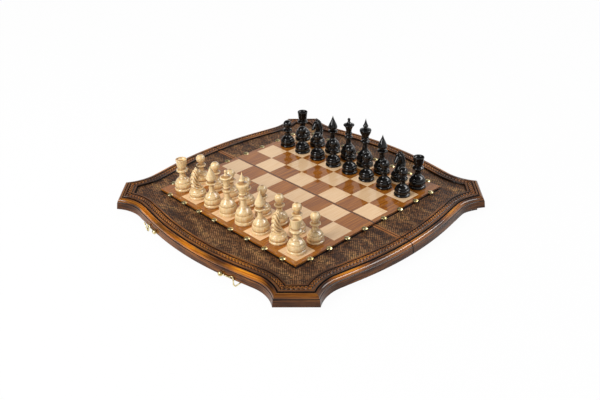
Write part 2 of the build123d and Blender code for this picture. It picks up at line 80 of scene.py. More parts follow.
def arc(start, middle, end, steps):
    """Points on the circle through three points, without its first point."""
    (ax, ay), (bx, by), (cx, cy) = start, middle, end
    d = 2 * (ax * (by - cy) + bx * (cy - ay) + cx * (ay - by))
    a, b, c = ax * ax + ay * ay, bx * bx + by * by, cx * cx + cy * cy
    x = (a * (by - cy) + b * (cy - ay) + c * (ay - by)) / d
    y = (a * (cx - bx) + b * (ax - cx) + c * (bx - ax)) / d
    turns = np.unwrap([np.arctan2(q - y, p - x) for p, q in (start, middle, end)])
    radius = np.hypot(ax - x, ay - y)
    return [(x + radius * cos(t), y + radius * sin(t))
            for t in np.linspace(turns[0], turns[2], steps + 1)[1:]]


# The section, from the band's foot round to the underside: inset, height, how amber the
# stain is there, and how deep in a cut or recess the point lies, which sets how dark
# settled stain and painted shade make it.
plait_start, plait_end, top = 16.4, 26.9, 33.5
band = [(0.5, 10.5, 0.1, 0.6), (0.1, 10.9, 0.1, 0.2)] + [
    (i, z, 0.1, 0.0) for i, z in zip(np.linspace(0.1, 1.5, 7), np.linspace(12.0, 23.3, 7))]
quirk = [(1.6, 23.7, 0.2, 0.5), (2.3, 24.2, 0.3, 0.9), (2.4, 24.5, 0.5, 0.6)]
nose = [(i, z, 1.0, 0.0) for i, z in arc((2.4, 24.5), (4.444, 29.396), (9.7, 31.3), 16)]
groove = [(10.0, 30.9, 0.4, 0.4), (10.3, 29.6, 0.2, 0.7), (11.1, 29.4, 0.2, 0.75),
          (11.8, 29.6, 0.2, 0.75), (12.2, 32.7, 0.2, 0.45), (12.8, top - 0.1, 0.2, 0.1)]
fillet = [(13.4, top, 0.3, 0.0), (14.4, top, 0.3, 0.0), (15.4, top, 0.3, 0.0),
          (15.9, top - 0.15, 0.2, 0.3), (plait_start, top - 1.0, 0.1, 1.0)]
plait = [(i, top, 0.3, 0.0) for i in np.linspace(plait_start + 0.2, plait_end - 0.2, 19)]
inner = [(plait_end, top - 1.0, 0.1, 1.0), (27.4, top - 0.15, 0.2, 0.3),
         (28.2, top, 0.3, 0.0), (29.4, top, 0.3, 0.0), (30.6, top - 0.05, 0.3, 0.0),
         (31.2, top - 0.4, 0.2, 0.4), (frame_width, top - 1.0, 0.3, 0.8),
         (frame_width, 29.0, 0.2, 1.0), (frame_width, 10.5, 0.1, 0.3)]
section = np.array(band + quirk + nose + groove + fillet + plait + inner)
around = np.r_[0, np.cumsum(np.hypot(*np.diff(section[:, :2], axis=0).T))]
order = np.arange(len(section))
plait_first = len(section) - len(inner) - len(plait)
plaited = (order >= plait_first) & (order < plait_first + len(plait))


def ease(value, low, high):
    """Rise smoothly from 0 at low to 1 at high."""
    t = np.clip((value - low) / (high - low), 0, 1)
    return t * t * (3 - 2 * t)


# Half a strand's width, its swing to each side, the length of a full turn, and the cut.
strand_half, plait_swing, plait_length, plait_depth = 1.8, 3.0, 20.4, 1.9


def plait_height(along, across):
    """Height of a three-strand plait, 1 on its crowns and 0 in the pits between strands."""
    height = 0 * across
    for strand in range(3):
        turn = 2 * pi * (along / plait_length + strand / 3)
        slope = plait_swing * 2 * pi / plait_length * cos(turn)
        off = (across - plait_swing * sin(turn)) / (strand_half * sqrt(1 + slope ** 2))
        crown = np.sqrt(np.clip(1 - off ** 2, 0, 1))
        over = (0.6 + 0.2 * (1 + sin(2 * turn))) * crown
        height = np.maximum(height, np.where(np.abs(off) < 1, over, 0))
    return height


def stand_in_scene(name, data):
    """A new object that holds a mesh, a lamp or a lens."""
    made = bpy.data.objects.new(name, data)
    bpy.context.collection.objects.link(made)
    return made


def skin(name, rows, marks=None, grain=None):
    """A closed mesh through rows of points, capped at both ends, with point marks and a
    grain map that gives the distances along and around the piece."""
    rows = np.asarray(rows, float)
    count, width = rows.shape[:2]
    index = np.arange(count * width).reshape(count, width)
    ring = np.roll(index, -1, 1)
    faces = np.stack([index[:-1], ring[:-1], ring[1:], index[1:]], -1)
    faces = faces.reshape(-1, 4).tolist()
    faces += [index[0][::-1].tolist(), index[-1].tolist()]
    points = rows.reshape(-1, 3) / 1000
    fans = np.array([(f[0], f[k], f[k + 1]) for f in faces for k in range(1, len(f) - 1)])
    a, b, c = (points[fans[:, k]] for k in range(3))
    if np.einsum("ij,ij->i", a, np.cross(b, c)).sum() < 0:
        faces = [f[::-1] for f in faces]
    mesh = bpy.data.meshes.new(name)
    mesh.from_pydata(points.tolist(), [], faces)
    for mark, values in (marks or {}).items():
        mesh.attributes.new(mark, "FLOAT", "POINT").data.foreach_set(
            "value", np.asarray(values, np.float32).ravel())
    if grain is not None:
        corner = np.empty(len(mesh.loops), np.int32)
        mesh.loops.foreach_get("vertex_index", corner)
        mesh.uv_layers.new(name="grain").data.foreach_set(
            "uv", np.asarray(grain, np.float32).reshape(-1, 2)[corner].ravel())
    mesh.shade_smooth()
    mesh.set_sharp_from_angle(angle=radians(38))
    return stand_in_scene(name, mesh)


def rail(name, places, place_point, body, cad_piece, wood):
    """One length of moulding: places along it, each with its distance along the rail."""
    rows, amber, depth, grain = [], [], [], []
    at_corner = "corner" in name
    middle = (plait_start + plait_end) / 2
    for place, along in places:
        x, y = place_point(section[:, 0], place)
        carved = plait_height(along, section[:, 0] - middle)
        height = section[:, 1] - np.where(plaited, plait_depth * (1 - carved), 0)
        rows.append(np.stack([x + 0 * height, y + 0 * height, height], -1))
        # The hollow runs and the corners are made darker and less amber.
        to_corner = 1.0 if at_corner else ease(abs(place), 1.7, 2.4)
        rubbed_crowns = np.where(plaited, 0.55 * ease(carved, 0.6, 0.95), 0)
        amber.append(section[:, 2] * (1 - 0.6 * to_corner) + rubbed_crowns)
        # Settled stain and painted shade: near black in the plait's pits and in the
        # section's cuts and recesses, and darker at the corners.
        recess_and_corner_darkening = np.maximum(section[:, 3], 0.24 * to_corner)
        depth.append(np.where(plaited, 1 - carved, recess_and_corner_darkening))
        grain.append(np.stack([along + 0 * around, around], -1))
    piece = skin(name, rows, marks={"amber": amber, "depth": depth}, grain=grain)
    piece.data.materials.append(wood)
    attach(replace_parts(piece, cad_piece), body)


def colour(written):
    """An sRGB hex value as linear red, green, blue and alpha."""
    parts = [int(written[k:k + 2], 16) / 255 for k in (1, 3, 5)]
    linear = [p / 12.92 if p <= 0.04045 else ((p + 0.055) / 1.055) ** 2.4 for p in parts]
    return linear + [1.0]


def finish(name):
    """A new material, its node tree and its shader."""
    made = bpy.data.materials.new(name)
    made.use_nodes = True
    return made, made.node_tree, made.node_tree.nodes["Principled BSDF"]


def node(tree, kind, inputs, stops=None, **settings):
    """Add a node with its settings; inputs take a value, a colour, a socket or a node's
    first output, and stops are a ramp's places with their colours."""
    made = kind if isinstance(kind, bpy.types.Node) else tree.nodes.new("ShaderNode" + kind)
    for setting, value in settings.items():
        setattr(made, setting, value)
    for socket, value in inputs.items():
        if isinstance(value, bpy.types.Node):
            value = value.outputs[0]
        if isinstance(value, bpy.types.NodeSocket):
            tree.links.new(value, made.inputs[socket])
        else:
            value = colour(value) if isinstance(value, str) else value
            made.inputs[socket].default_value = value
    for number, (place, written) in enumerate(stops or ()):
        ramp = made.color_ramp.elements
        last = number == len(stops) - 1
        stop = ramp[0] if number == 0 else ramp[len(ramp) - 1] if last else ramp.new(place)
        stop.position, stop.color = place, colour(written)
    return made


def beside_saw_cut(tree):
    """Near 1 on the last millimetre before the seam, where the saw left an open arris."""
    place = node(tree, "TexCoord", {}).outputs["Object"]
    across = node(tree, "SeparateXYZ", {0: place}).outputs[1]
    away = node(tree, "Math", {0: across}, operation="ABSOLUTE")
    return node(tree, "MapRange", {"Value": away, "From Min": 0.0008, "From Max": 0.0014,
                                   "To Min": 0.97, "To Max": 0.0})


def seam_shadow(tree, wood):
    """Darken the arris of the saw cut, which the stain has filled."""
    return node(tree, "MixRGB", {"Fac": beside_saw_cut(tree), "Color1": wood,
                                 "Color2": "#0c0503"})


# Walnut moulding under brushed lacquer: long brown streaks, amber where the bullnose was
# rubbed back, near black in the cuts and recesses with settled stain and painted shade, and
# a wet gloss over all.
# Streaks are 55 mm long and 1.6 mm wide, clouds 70 by 14 mm.
rail_wood, tree, shader = finish("lacquered_walnut_moulding")
grain = node(tree, "UVMap", {}, uv_map="grain")
streak_at = node(tree, "VectorMath", {0: grain, 1: (1 / 55, 1 / 1.6, 1)},
                 operation="MULTIPLY")
streaks = node(tree, "TexNoise", {"Vector": streak_at, "Scale": 1, "Detail": 5,
                                  "Roughness": 0.62})
cloud_at = node(tree, "VectorMath", {0: grain, 1: (1 / 70, 1 / 14, 1)},
                operation="MULTIPLY")
clouds = node(tree, "TexNoise", {"Vector": cloud_at, "Scale": 1, "Detail": 2})
brown = node(tree, "ValToRGB", {"Fac": streaks}, stops=[
    (0.32, "#200f05"), (0.46, "#4b2910"), (0.57, "#75451f"), (0.72, "#a3692f")])
amber = node(tree, "ValToRGB", {"Fac": streaks}, stops=[
    (0.32, "#6e3206"), (0.46, "#b0600c"), (0.58, "#d38518"), (0.72, "#e6a02e")])
how_amber = node(tree, "Attribute", {}, attribute_name="amber")
patchy = node(tree, "MapRange", {"Value": clouds, "From Min": 0.36, "From Max": 0.6,
                                 "To Min": 0.3, "To Max": 1.0})
warmth = node(tree, "Math", {0: how_amber.outputs["Fac"], 1: patchy}, operation="MULTIPLY",
              use_clamp=True)
rubbed = node(tree, "MapRange", {"Value": how_amber.outputs["Fac"], "To Min": 0.3,
                                 "To Max": 0.9})
rubbed_back = node(tree, "MixRGB", {"Fac": warmth, "Color1": brown, "Color2": amber})
blotch = node(tree, "MapRange", {"Value": clouds, "From Min": 0.36, "From Max": 0.5,
                                 "To Min": 0.6, "To Max": 0.0})
darkened = node(tree, "MixRGB", {"Fac": blotch, "Color1": rubbed_back, "Color2": "#220f05"})
# Near black where the marks hold settled stain and painted shade in the cuts, recesses and
# pits.
cut = node(tree, "Attribute", {}, attribute_name="depth")
stain_and_shade_amount = node(tree, "MapRange", {"Value": cut.outputs["Fac"], "From Min": 0.12,
                                 "From Max": 0.55, "To Max": 0.97})
with_stain_and_shade = node(tree, "MixRGB", {"Fac": stain_and_shade_amount, "Color1": darkened, "Color2": "#0c0503"})
brushed = node(tree, "Bump", {"Height": streaks, "Strength": 0.04, "Distance": 0.0003})
gloss = node(tree, "MapRange", {"Value": streaks, "From Min": 0.3, "From Max": 0.7,
                                "To Min": 0.42, "To Max": 0.3})
unbroken = node(tree, "Math", {0: rubbed, 1: beside_saw_cut(tree)}, operation="SUBTRACT",
                use_clamp=True)
node(tree, shader, {"Base Color": seam_shadow(tree, with_stain_and_shade), "Roughness": gloss,
                    "Normal": brushed, "Specular IOR Level": 0.1, "Coat Weight": unbroken,
                    "Coat Roughness": 0.07, "Coat IOR": 1.5})

# Distances along a rail are measured down the plait, which takes whole thirds of a turn.
plait_line = np.array([21.6])
stations = np.r_[np.linspace(0, 1, 140), np.linspace(1, 2, 55)[1:],
                 np.linspace(2, 3, 74)[1:]]
for colour_name, side in (("white", -1), ("black", 1)):
    body = colour_name + "_half"
    for run, sawn in (("front", False), ("side", True)):
        line = np.array([outline(plait_line, s, sawn) for s in stations])[:, :, 0]
        along = np.r_[0, np.cumsum(np.hypot(*np.diff(line, axis=0).T))]
        thirds = round(along[-1] / plait_length * 3)
        along *= thirds / 3 * plait_length / along[-1]
        if run == "front":
            both = ([(-s, -a) for s, a in zip(stations[:0:-1], along[:0:-1])]
                    + list(zip(stations, along)))
            rail(f"{colour_name}_front_moulding", both,
                 lambda i, s, side=side: (np.copysign(1, s) * outline(i, abs(s))[0],
                                          side * outline(i, abs(s))[1]),
                 body, f"{colour_name}_front_rail", rail_wood)
            continue
        for hand, name in ((-1, "left"), (1, "right")):
            rail(f"{colour_name}_{name}_moulding", list(zip(stations, along)),
                 lambda i, s, side=side, hand=hand: (hand * outline(i, s, True)[1],
                                                     side * outline(i, s, True)[0]),
                 body, f"{colour_name}_side_rails", rail_wood)
    for hand, name in ((-1, "left"), (1, "right")):
        tips = [outline(plait_line, 3)[k][0] for k in (0, 1)]
        length = (tips[1] - tips[0]) * sqrt(2)
        steps = [(t, (t - 0.5) * length) for t in np.linspace(0, 1, 90)]
        rail(f"{colour_name}_{name}_corner_moulding", steps,
             lambda i, t, side=side, hand=hand: (
                 hand * ((1 - t) * outline(i, 3)[0] + t * outline(i, 3)[1]),
                 side * ((1 - t) * outline(i, 3)[1] + t * outline(i, 3)[0])),
             body, f"{colour_name}_corner_rails", rail_wood)

# --- The carved field -----------------------------------------------------------------
# Walnut panels let into the frame round the board, their tops cut all over with a gouge in
# a basket weave set at 45 degrees, stained dark and lacquered. Plain along the seam.
weave, weave_depth, field_top = 3.4, 1.15, 30.5
net_reach, net_bottom, panel_top, panel_bottom = 285, 29.0, 29.2, 25.5
board_half, board_depth = 189.0, 191.9
bed_half, bed_depth = 186.4, 189.3      # the plain bed under the board
tucked_in = 5                   # how far the weave runs in under the board's edge
knot = weave / 4 / sqrt(2)      # half the diagonal of the net's small squares


def inset_of(x, y):
    """How far points lie inside the outermost edge of the moulding."""
    a, b = np.minimum(np.abs(x), np.abs(y)), np.maximum(np.abs(x), np.abs(y))
    run = ((a - bulge_radius * sin(bulge_angle)) * cos(bulge_angle)
           - (b - bulge_centre - bulge_radius * cos(bulge_angle)) * sin(bulge_angle))
    lean = ((a - bulge_radius * sin(bulge_angle)) * sin(bulge_angle)
            + (b - bulge_centre - bulge_radius * cos(bulge_angle)) * cos(bulge_angle))
    side = np.where(run < 0, bulge_radius - np.hypot(a, b - bulge_centre),
                    np.where(run < straight, -lean,
                             np.hypot(a - hollow_x, b - hollow_y) - hollow_radius))
    return np.minimum(side, corner_reach - (a + b) / sqrt(2))


hand_work = np.random.default_rng(11).uniform(0.55, 1.0, (64, 64, 2))


def weave_height(p, q):
    """Height of a plain weave of round strands, 1 on the crowns and 0 in the holes, with
    the drift and the unequal strokes of hand work."""
    p, q = (p + 0.5 * np.sin(q / 4.1) + 0.35 * np.sin(p / 7.3 + q / 11.9),
            q + 0.5 * np.sin(p / 4.7 + 1) + 0.35 * np.sin(q / 6.1 - p / 13.7))
    i, j = np.round(p / weave), np.round(q / weave)
    stroke = hand_work[i.astype(int) % 64, j.astype(int) % 64]
    one = (0.5 * np.cos(pi * (q - j * weave) / weave)
           + 0.5 * np.cos(pi * p / weave) * (-1) ** j)
    two = (0.5 * np.cos(pi * (p - i * weave) / weave)
           - 0.5 * np.cos(pi * q / weave) * (-1) ** i)
    return np.clip(np.maximum(one * stroke[..., 0], two * stroke[..., 1]), 0, 1)


def carved_net(side):
    """The woven top as a closed shell over a diagonal net of points, a row on the seam."""
    reach = int(net_reach / knot) // 2 * 2
    m, n = np.mgrid[0:reach + 2, -reach:reach + 1]
    x, y = n * knot, half_gap + m * knot
    keep = ((m + n) % 2 == 1) & (inset_of(x, y) > frame_width - 1.0)
    keep &= ~((np.abs(x) < board_half - tucked_in) & (y < board_depth - tucked_in))
    cm, cn = np.nonzero(keep)
    corners = np.stack([np.stack([cm, cn - 1], -1), np.stack([cm - 1, cn], -1),
                        np.stack([cm, cn + 1], -1), np.stack([cm + 1, cn], -1)], 1)
    flat = corners[..., 0] * m.shape[1] + corners[..., 1]
    flat[cm == 0, 1] = -1
    used, number = np.unique(flat[flat >= 0], return_inverse=True)
    number_of = np.full(flat.shape, -1)
    number_of[flat >= 0] = number
    x, y = x.ravel()[used], y.ravel()[used]
    woven = weave_height((x + y - half_gap) / sqrt(2) + weave / 2,
                         (x - y + half_gap) / sqrt(2) + weave / 2)
    inset = inset_of(x, y)
    plain = 1 - ease(y, 3.0, 5.5)
    woven = woven * (1 - plain) + 0.9 * plain
    woven = woven * ease(inset, frame_width - 1.0, frame_width + 1.6)
    z = field_top - 0.03 - weave_depth * (1 - woven)
    count = len(used)
    points = np.r_[np.c_[x, side * y, z], np.c_[x, side * y, 0 * z + net_bottom]]
    tops = [[v for v in f if v >= 0] for f in number_of.tolist()]
    edges = {}
    for f in tops:
        for a, b in zip(f, f[1:] + f[:1]):
            if edges.pop((b, a), None) is None:
                edges[a, b] = True
    faces = tops + [[v + count for v in f[::-1]] for f in tops]
    faces += [[b, a, a + count, b + count] for a, b in edges]
    if side > 0:
        faces = [f[::-1] for f in faces]
    from_board = np.maximum(np.abs(x) - board_half, y - board_depth)
    # How dark each point is: settled stain with painted shade in the holes, a painted
    # shadow of the board along its edge, painted shade along the moulding, and a little
    # along the plain strip by the seam.
    with_stain_and_shade = np.maximum(1 - woven, 0.95 * (1 - ease(from_board, 0.8, 3.4)))
    with_stain_and_shade = np.maximum(with_stain_and_shade, 0.55 * (1 - ease(inset, frame_width, frame_width + 8)))
    with_stain_and_shade = np.maximum(with_stain_and_shade, 0.3 * plain)
    return points, faces, np.r_[with_stain_and_shade, np.full(count, 1.0)]


def panel_block(loop, low, high):
    """A prism over a closed loop of plan points."""
    count = len(loop)
    points = [(x, y, z) for z in (low, high) for x, y in loop]
    faces = [list(range(count)), list(range(2 * count - 1, count - 1, -1))]
    faces += [[k, k + count, (k + 1) % count + count, (k + 1) % count]
              for k in range(count)]
    area = sum(a[0] * b[1] - b[0] * a[1] for a, b in zip(loop, loop[1:] + loop[:1]))
    return np.array(points), [f[::-1] for f in faces] if area > 0 else faces


# Gouged walnut, dark stained: pinkish brown crowns that catch the light through lacquer,
# holes almost black with settled stain and painted shade, a painted shadow of the board
# along its edge, painted shade along the moulding, and slow patches of gold, some 50 mm
# long, where the stain was wiped thin. Fibres are 12 mm long and 0.9 mm wide.
field_wood, tree, shader = finish("gouged_walnut_field")
place = node(tree, "TexCoord", {}).outputs["Object"]
figure = node(tree, "TexNoise", {"Vector": node(
    tree, "VectorMath", {0: place, 1: (1 / 0.055, 1 / 0.022, 1 / 0.03)},
    operation="MULTIPLY"), "Scale": 1, "Detail": 3})
fibre = node(tree, "TexNoise", {"Vector": node(
    tree, "VectorMath", {0: place, 1: (1 / 0.012, 1 / 0.0009, 1 / 0.0009)},
    operation="MULTIPLY"), "Scale": 1, "Detail": 3})
wiped = node(tree, "ValToRGB", {"Fac": figure}, stops=[
    (0.34, "#5e3a21"), (0.46, "#875730"), (0.55, "#ab784c"), (0.68, "#d09a5c")])
fibred = node(tree, "MapRange", {"Value": fibre, "From Min": 0.35, "From Max": 0.7,
                                 "To Min": 0.0, "To Max": 0.4})
crowns = node(tree, "MixRGB", {"Fac": fibred, "Color1": wiped, "Color2": "#3a1d10"})
# Near black by the marks: settled stain and painted shade in the holes, the board's painted
# shadow and painted shade along the moulding.
cut = node(tree, "Attribute", {}, attribute_name="depth")
stain_and_shade_amount = node(tree, "MapRange", {"Value": cut.outputs["Fac"], "From Min": 0.22,
                                 "From Max": 0.66, "To Max": 0.97})
with_stain_and_shade = node(tree, "MixRGB", {"Fac": stain_and_shade_amount, "Color1": crowns, "Color2": "#0d0503"})
beside_seam = node(tree, "Math", {0: node(tree, "SeparateXYZ", {0: place}).outputs[1]},
                   operation="ABSOLUTE")
edging = node(tree, "MapRange", {"Value": beside_seam, "From Min": 0.0034,
                                 "From Max": 0.0042, "To Min": 0.9, "To Max": 0.0})
edged = node(tree, "MixRGB", {"Fac": edging, "Color1": with_stain_and_shade, "Color2": "#a05f26"})
scraped = node(tree, "Bump", {"Height": fibre, "Strength": 0.2, "Distance": 0.0003})
dulled = node(tree, "MapRange", {"Value": cut.outputs["Fac"], "To Min": 0.38,
                                 "To Max": 0.7})
node(tree, shader, {"Base Color": seam_shadow(tree, edged), "Roughness": dulled,
                    "Normal": scraped, "Specular IOR Level": 0.2, "Coat Weight": 0.3,
                    "Coat Roughness": 0.2})

for colour_name, side in (("white", -1), ("black", 1)):
    net, net_faces, depth = carved_net(side)
    edge_places = np.r_[np.linspace(0, 1, 30), 1.5, np.linspace(2, 3, 30)]
    inset = np.array([frame_width])
    flank = [[p[0] for p in outline(inset, s, True)[::-1]] for s in edge_places]
    facing = [[p[0] for p in outline(inset, s)] for s in edge_places[::-1]]
    right = [(x, side * y) for x, y in flank + facing]
    loop = right + [(-x, y) for x, y in right[-2::-1]]
    bed = [(x, side * y) for x, y in ((-bed_half, half_gap), (bed_half, half_gap),
                                      (bed_half, bed_depth), (-bed_half, bed_depth))]
    points, faces, marks = [net], list(net_faces), [depth]
    for extra, extra_faces in (panel_block(loop, panel_bottom, panel_top),
                               panel_block(bed, net_bottom, field_top)):
        start = sum(len(p) for p in points)
        points.append(extra)
        faces += [[v + start for v in f] for f in extra_faces]
        marks.append(np.full(len(extra), 0.3))
    mesh = bpy.data.meshes.new(f"{colour_name}_carved_field")
    mesh.from_pydata((np.concatenate(points) / 1000).tolist(), [], faces)
    mesh.attributes.new("depth", "FLOAT", "POINT").data.foreach_set(
        "value", np.concatenate(marks).astype(np.float32))
    mesh.shade_smooth()
    mesh.set_sharp_from_angle(angle=radians(60))
    mesh.materials.append(field_wood)
    field = stand_in_scene(mesh.name, mesh)
    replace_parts(field, f"{colour_name}_field_panel")
    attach(field, f"{colour_name}_half")

# --- Tray walls and spines ------------------------------------------------------------
# Plain walnut boards glued up under the frame: a lipped wall all round each tray, and a
# spine along the seam that takes the hinges. Planed, stained dark, wiped with satin oil.

# Oiled walnut: dull dark brown with fine open pores, drawn 1.4 mm apart up the board.
tray_wood, tree, shader = finish("oiled_walnut")
place = node(tree, "TexCoord", {}).outputs["Object"]
board_grain = node(tree, "TexNoise", {"Vector": node(
    tree, "VectorMath", {0: place, 1: (1 / 0.05, 1 / 0.05, 1 / 0.0014)},
    operation="MULTIPLY"), "Scale": 1, "Detail": 5, "Distortion": 0.4})
oiled = node(tree, "ValToRGB", {"Fac": board_grain}, stops=[
    (0.30, "#22140c"), (0.48, "#3b2517"), (0.62, "#4c3120"), (0.78, "#5b3c28")])
pores = node(tree, "Bump", {"Height": board_grain, "Strength": 0.15, "Distance": 0.0003})
node(tree, shader, {"Base Color": oiled, "Roughness": 0.5, "Normal": pores, "IOR": 1.5,
                    "Coat Weight": 0.15, "Coat Roughness": 0.3})
for colour_name in ("white", "black"):
    for part in ("tray_wall", "spine"):
        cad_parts[f"{colour_name}_{part}"].data.materials[0] = tray_wood

# --- The playing board ----------------------------------------------------------------
# A plate on the back of each tray, veneered with walnut squares and border strips round
# maple ones, sanded flush and flow coated with polyester lacquer to a mirror.
square, seam_edging = 0.045, 0.0029     # in metres, for the shaders and the men's places


def veneer(name, dark_to_light, streak, across, bump):
    """Knife-cut veneer under lacquer: each square has its own shade and its own grain."""
    made, tree, shader = finish(name)
    place = node(tree, "TexCoord", {}).outputs["Object"]
    split = node(tree, "SeparateXYZ", {0: place})
    files = node(tree, "Math", {0: split.outputs[0], 1: square}, operation="DIVIDE")
    away = node(tree, "Math", {0: split.outputs[1]}, operation="ABSOLUTE")
    past_edging = node(tree, "Math", {0: away, 1: seam_edging}, operation="SUBTRACT")
    ranks = node(tree, "Math", {0: past_edging, 1: square}, operation="DIVIDE")
    cell = node(tree, "CombineXYZ", {
        0: node(tree, "Math", {0: files}, operation="FLOOR"),
        1: node(tree, "Math", {0: ranks}, operation="FLOOR"),
        2: node(tree, "Math", {0: split.outputs[1]}, operation="SIGN")})
    shade = node(tree, "TexWhiteNoise", {"Vector": cell})
    # The border strips outside the squares run along the board's edges.
    aside = node(tree, "Math", {0: split.outputs[0]}, operation="ABSOLUTE")
    wide = node(tree, "Math", {0: aside, 1: 4 * square}, operation="SUBTRACT")
    wide = node(tree, "Math", {0: wide, 1: 0.0}, operation="MAXIMUM")
    deep = node(tree, "Math", {0: away, 1: 4 * square + seam_edging}, operation="SUBTRACT")
    along_x = node(tree, "Math", {0: deep, 1: wide}, operation="GREATER_THAN")
    crosswise = node(tree, "CombineXYZ", {0: split.outputs[1], 1: split.outputs[0]})
    lie = node(tree, "MixRGB", {"Fac": along_x, "Color1": place, "Color2": crosswise})
    moved = node(tree, "VectorMath", {0: node(
        tree, "VectorMath", {0: lie, 1: (1 / across, 1 / streak, 0)}, operation="MULTIPLY"),
        1: node(tree, "VectorMath", {0: shade.outputs["Color"], 1: (40, 40, 40)},
                operation="MULTIPLY")}, operation="ADD")
    grain = node(tree, "TexNoise", {"Vector": moved, "Scale": 1, "Detail": 5,
                                    "Roughness": 0.58, "Distortion": 0.25})
    tone = node(tree, "ValToRGB", {"Fac": grain}, stops=dark_to_light)
    varied = node(tree, "HueSaturation", {
        "Color": tone, "Value": node(tree, "MapRange", {
            "Value": shade.outputs["Value"], "To Min": 0.92, "To Max": 1.08})})
    node(tree, shader, {
        "Base Color": seam_shadow(tree, varied), "Roughness": 0.4,
        "Specular IOR Level": 0.2, "Coat Weight": 1.0, "Coat Roughness": 0.03,
        "Coat IOR": 1.58,
        "Normal": node(tree, "Bump", {"Height": grain, "Strength": bump,
                                      "Distance": 0.0002})})
    return made


# Walnut, toned orange by the lacquer; streaks about 60 mm long and 1.6 mm wide.
dark_veneer = veneer("lacquered_walnut_veneer", [
    (0.30, "#6e370a"), (0.45, "#8c4d0d"), (0.56, "#a66214"), (0.72, "#bd7822")],
    streak=0.06, across=0.0016, bump=0.05)
# Maple, creamy and very even; its fine lines are drawn 1 mm wide so that they show.
light_veneer = veneer("lacquered_maple_veneer", [
    (0.30, "#deb07c"), (0.45, "#e9c092"), (0.58, "#efca9e"), (0.75, "#f4d4ab")],
    streak=0.05, across=0.0010, bump=0.03)
for colour_name in ("white", "black"):
    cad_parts[f"{colour_name}_board_plate"].data.materials[0] = dark_veneer
    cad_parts[f"{colour_name}_light_squares"].data.materials[0] = light_veneer

# --- Brass nails, hinges and latches --------------------------------------------------
# Domed brass nails pinned round the board, two cast butt hinges screwed into the spines,
# and two bent wire hooks that swing on brass posts. Polished, then dulled by handling.

# Polished brass: pale gold with browner tarnish in 4 mm patches, and small hammer dents.
brass, tree, shader = finish("polished_brass")
place = node(tree, "TexCoord", {}).outputs["Object"]
handled = node(tree, "TexNoise", {"Vector": place, "Scale": 1 / 0.004, "Detail": 3})
dents = node(tree, "TexNoise", {"Vector": place, "Scale": 1 / 0.0022, "Detail": 1})
metal = node(tree, "ValToRGB", {"Fac": handled}, stops=[
    (0.30, "#96814e"), (0.45, "#cfbb82"), (0.60, "#ebdcae"), (0.75, "#f6ecca")])
worn = node(tree, "MapRange", {"Value": handled, "From Min": 0.3, "From Max": 0.7,
                               "To Min": 0.46, "To Max": 0.28})
node(tree, shader, {"Base Color": metal, "Metallic": 1.0, "Roughness": worn, "Normal": node(
    tree, "Bump", {"Height": dents, "Strength": 0.25, "Distance": 0.0003})})
for part in ("white_nails", "black_nails", "white_hinge_leaves", "black_hinge_leaves",
             "white_hinge_screws", "black_hinge_screws", "hinge_pins", "latch_posts",
             "latch_studs", "latch_hook_left", "latch_hook_right"):
    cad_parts[part].data.materials[0] = brass

# --- The turned men -------------------------------------------------------------------
# Boxwood men and ebonised ones, turned on a lathe with collars, coves and two rings at the
# foot, then dipped in gloss lacquer. Stain and painted shade gather in the coves of the
# light ones.


def bend(start, handles, steps=14):
    """A two-handle curve's points, without its first point."""
    corners, points = (start, handles[:2], handles[2:4], handles[4:]), []
    for t in np.linspace(0, 1, steps + 1)[1:]:
        pulls = ((1 - t) ** 3, 3 * t * (1 - t) ** 2, 3 * t * t * (1 - t), t ** 3)
        points.append(tuple(sum(w * c[k] for w, c in zip(pulls, corners)) for k in (0, 1)))
    return points


def foot(radius, neck, height, ring, waist):
    """Two rings, one above the other, and the bell that every man shares."""
    swell = waist + 0.45 * (height - waist)
    return [(radius - 0.6, 0), (radius, 0.7),
            (radius + 0.2, 0.5 * ring, radius - 0.8, ring - 0.7),
            (radius - 1.8, ring), (radius - 1.8, ring + 0.6),
            (radius - 0.5, (ring + waist) / 2, radius - 1.8, waist - 0.5),
            (radius - 2.8, waist), (radius - 2.6, swell, neck, swell, neck, height)]


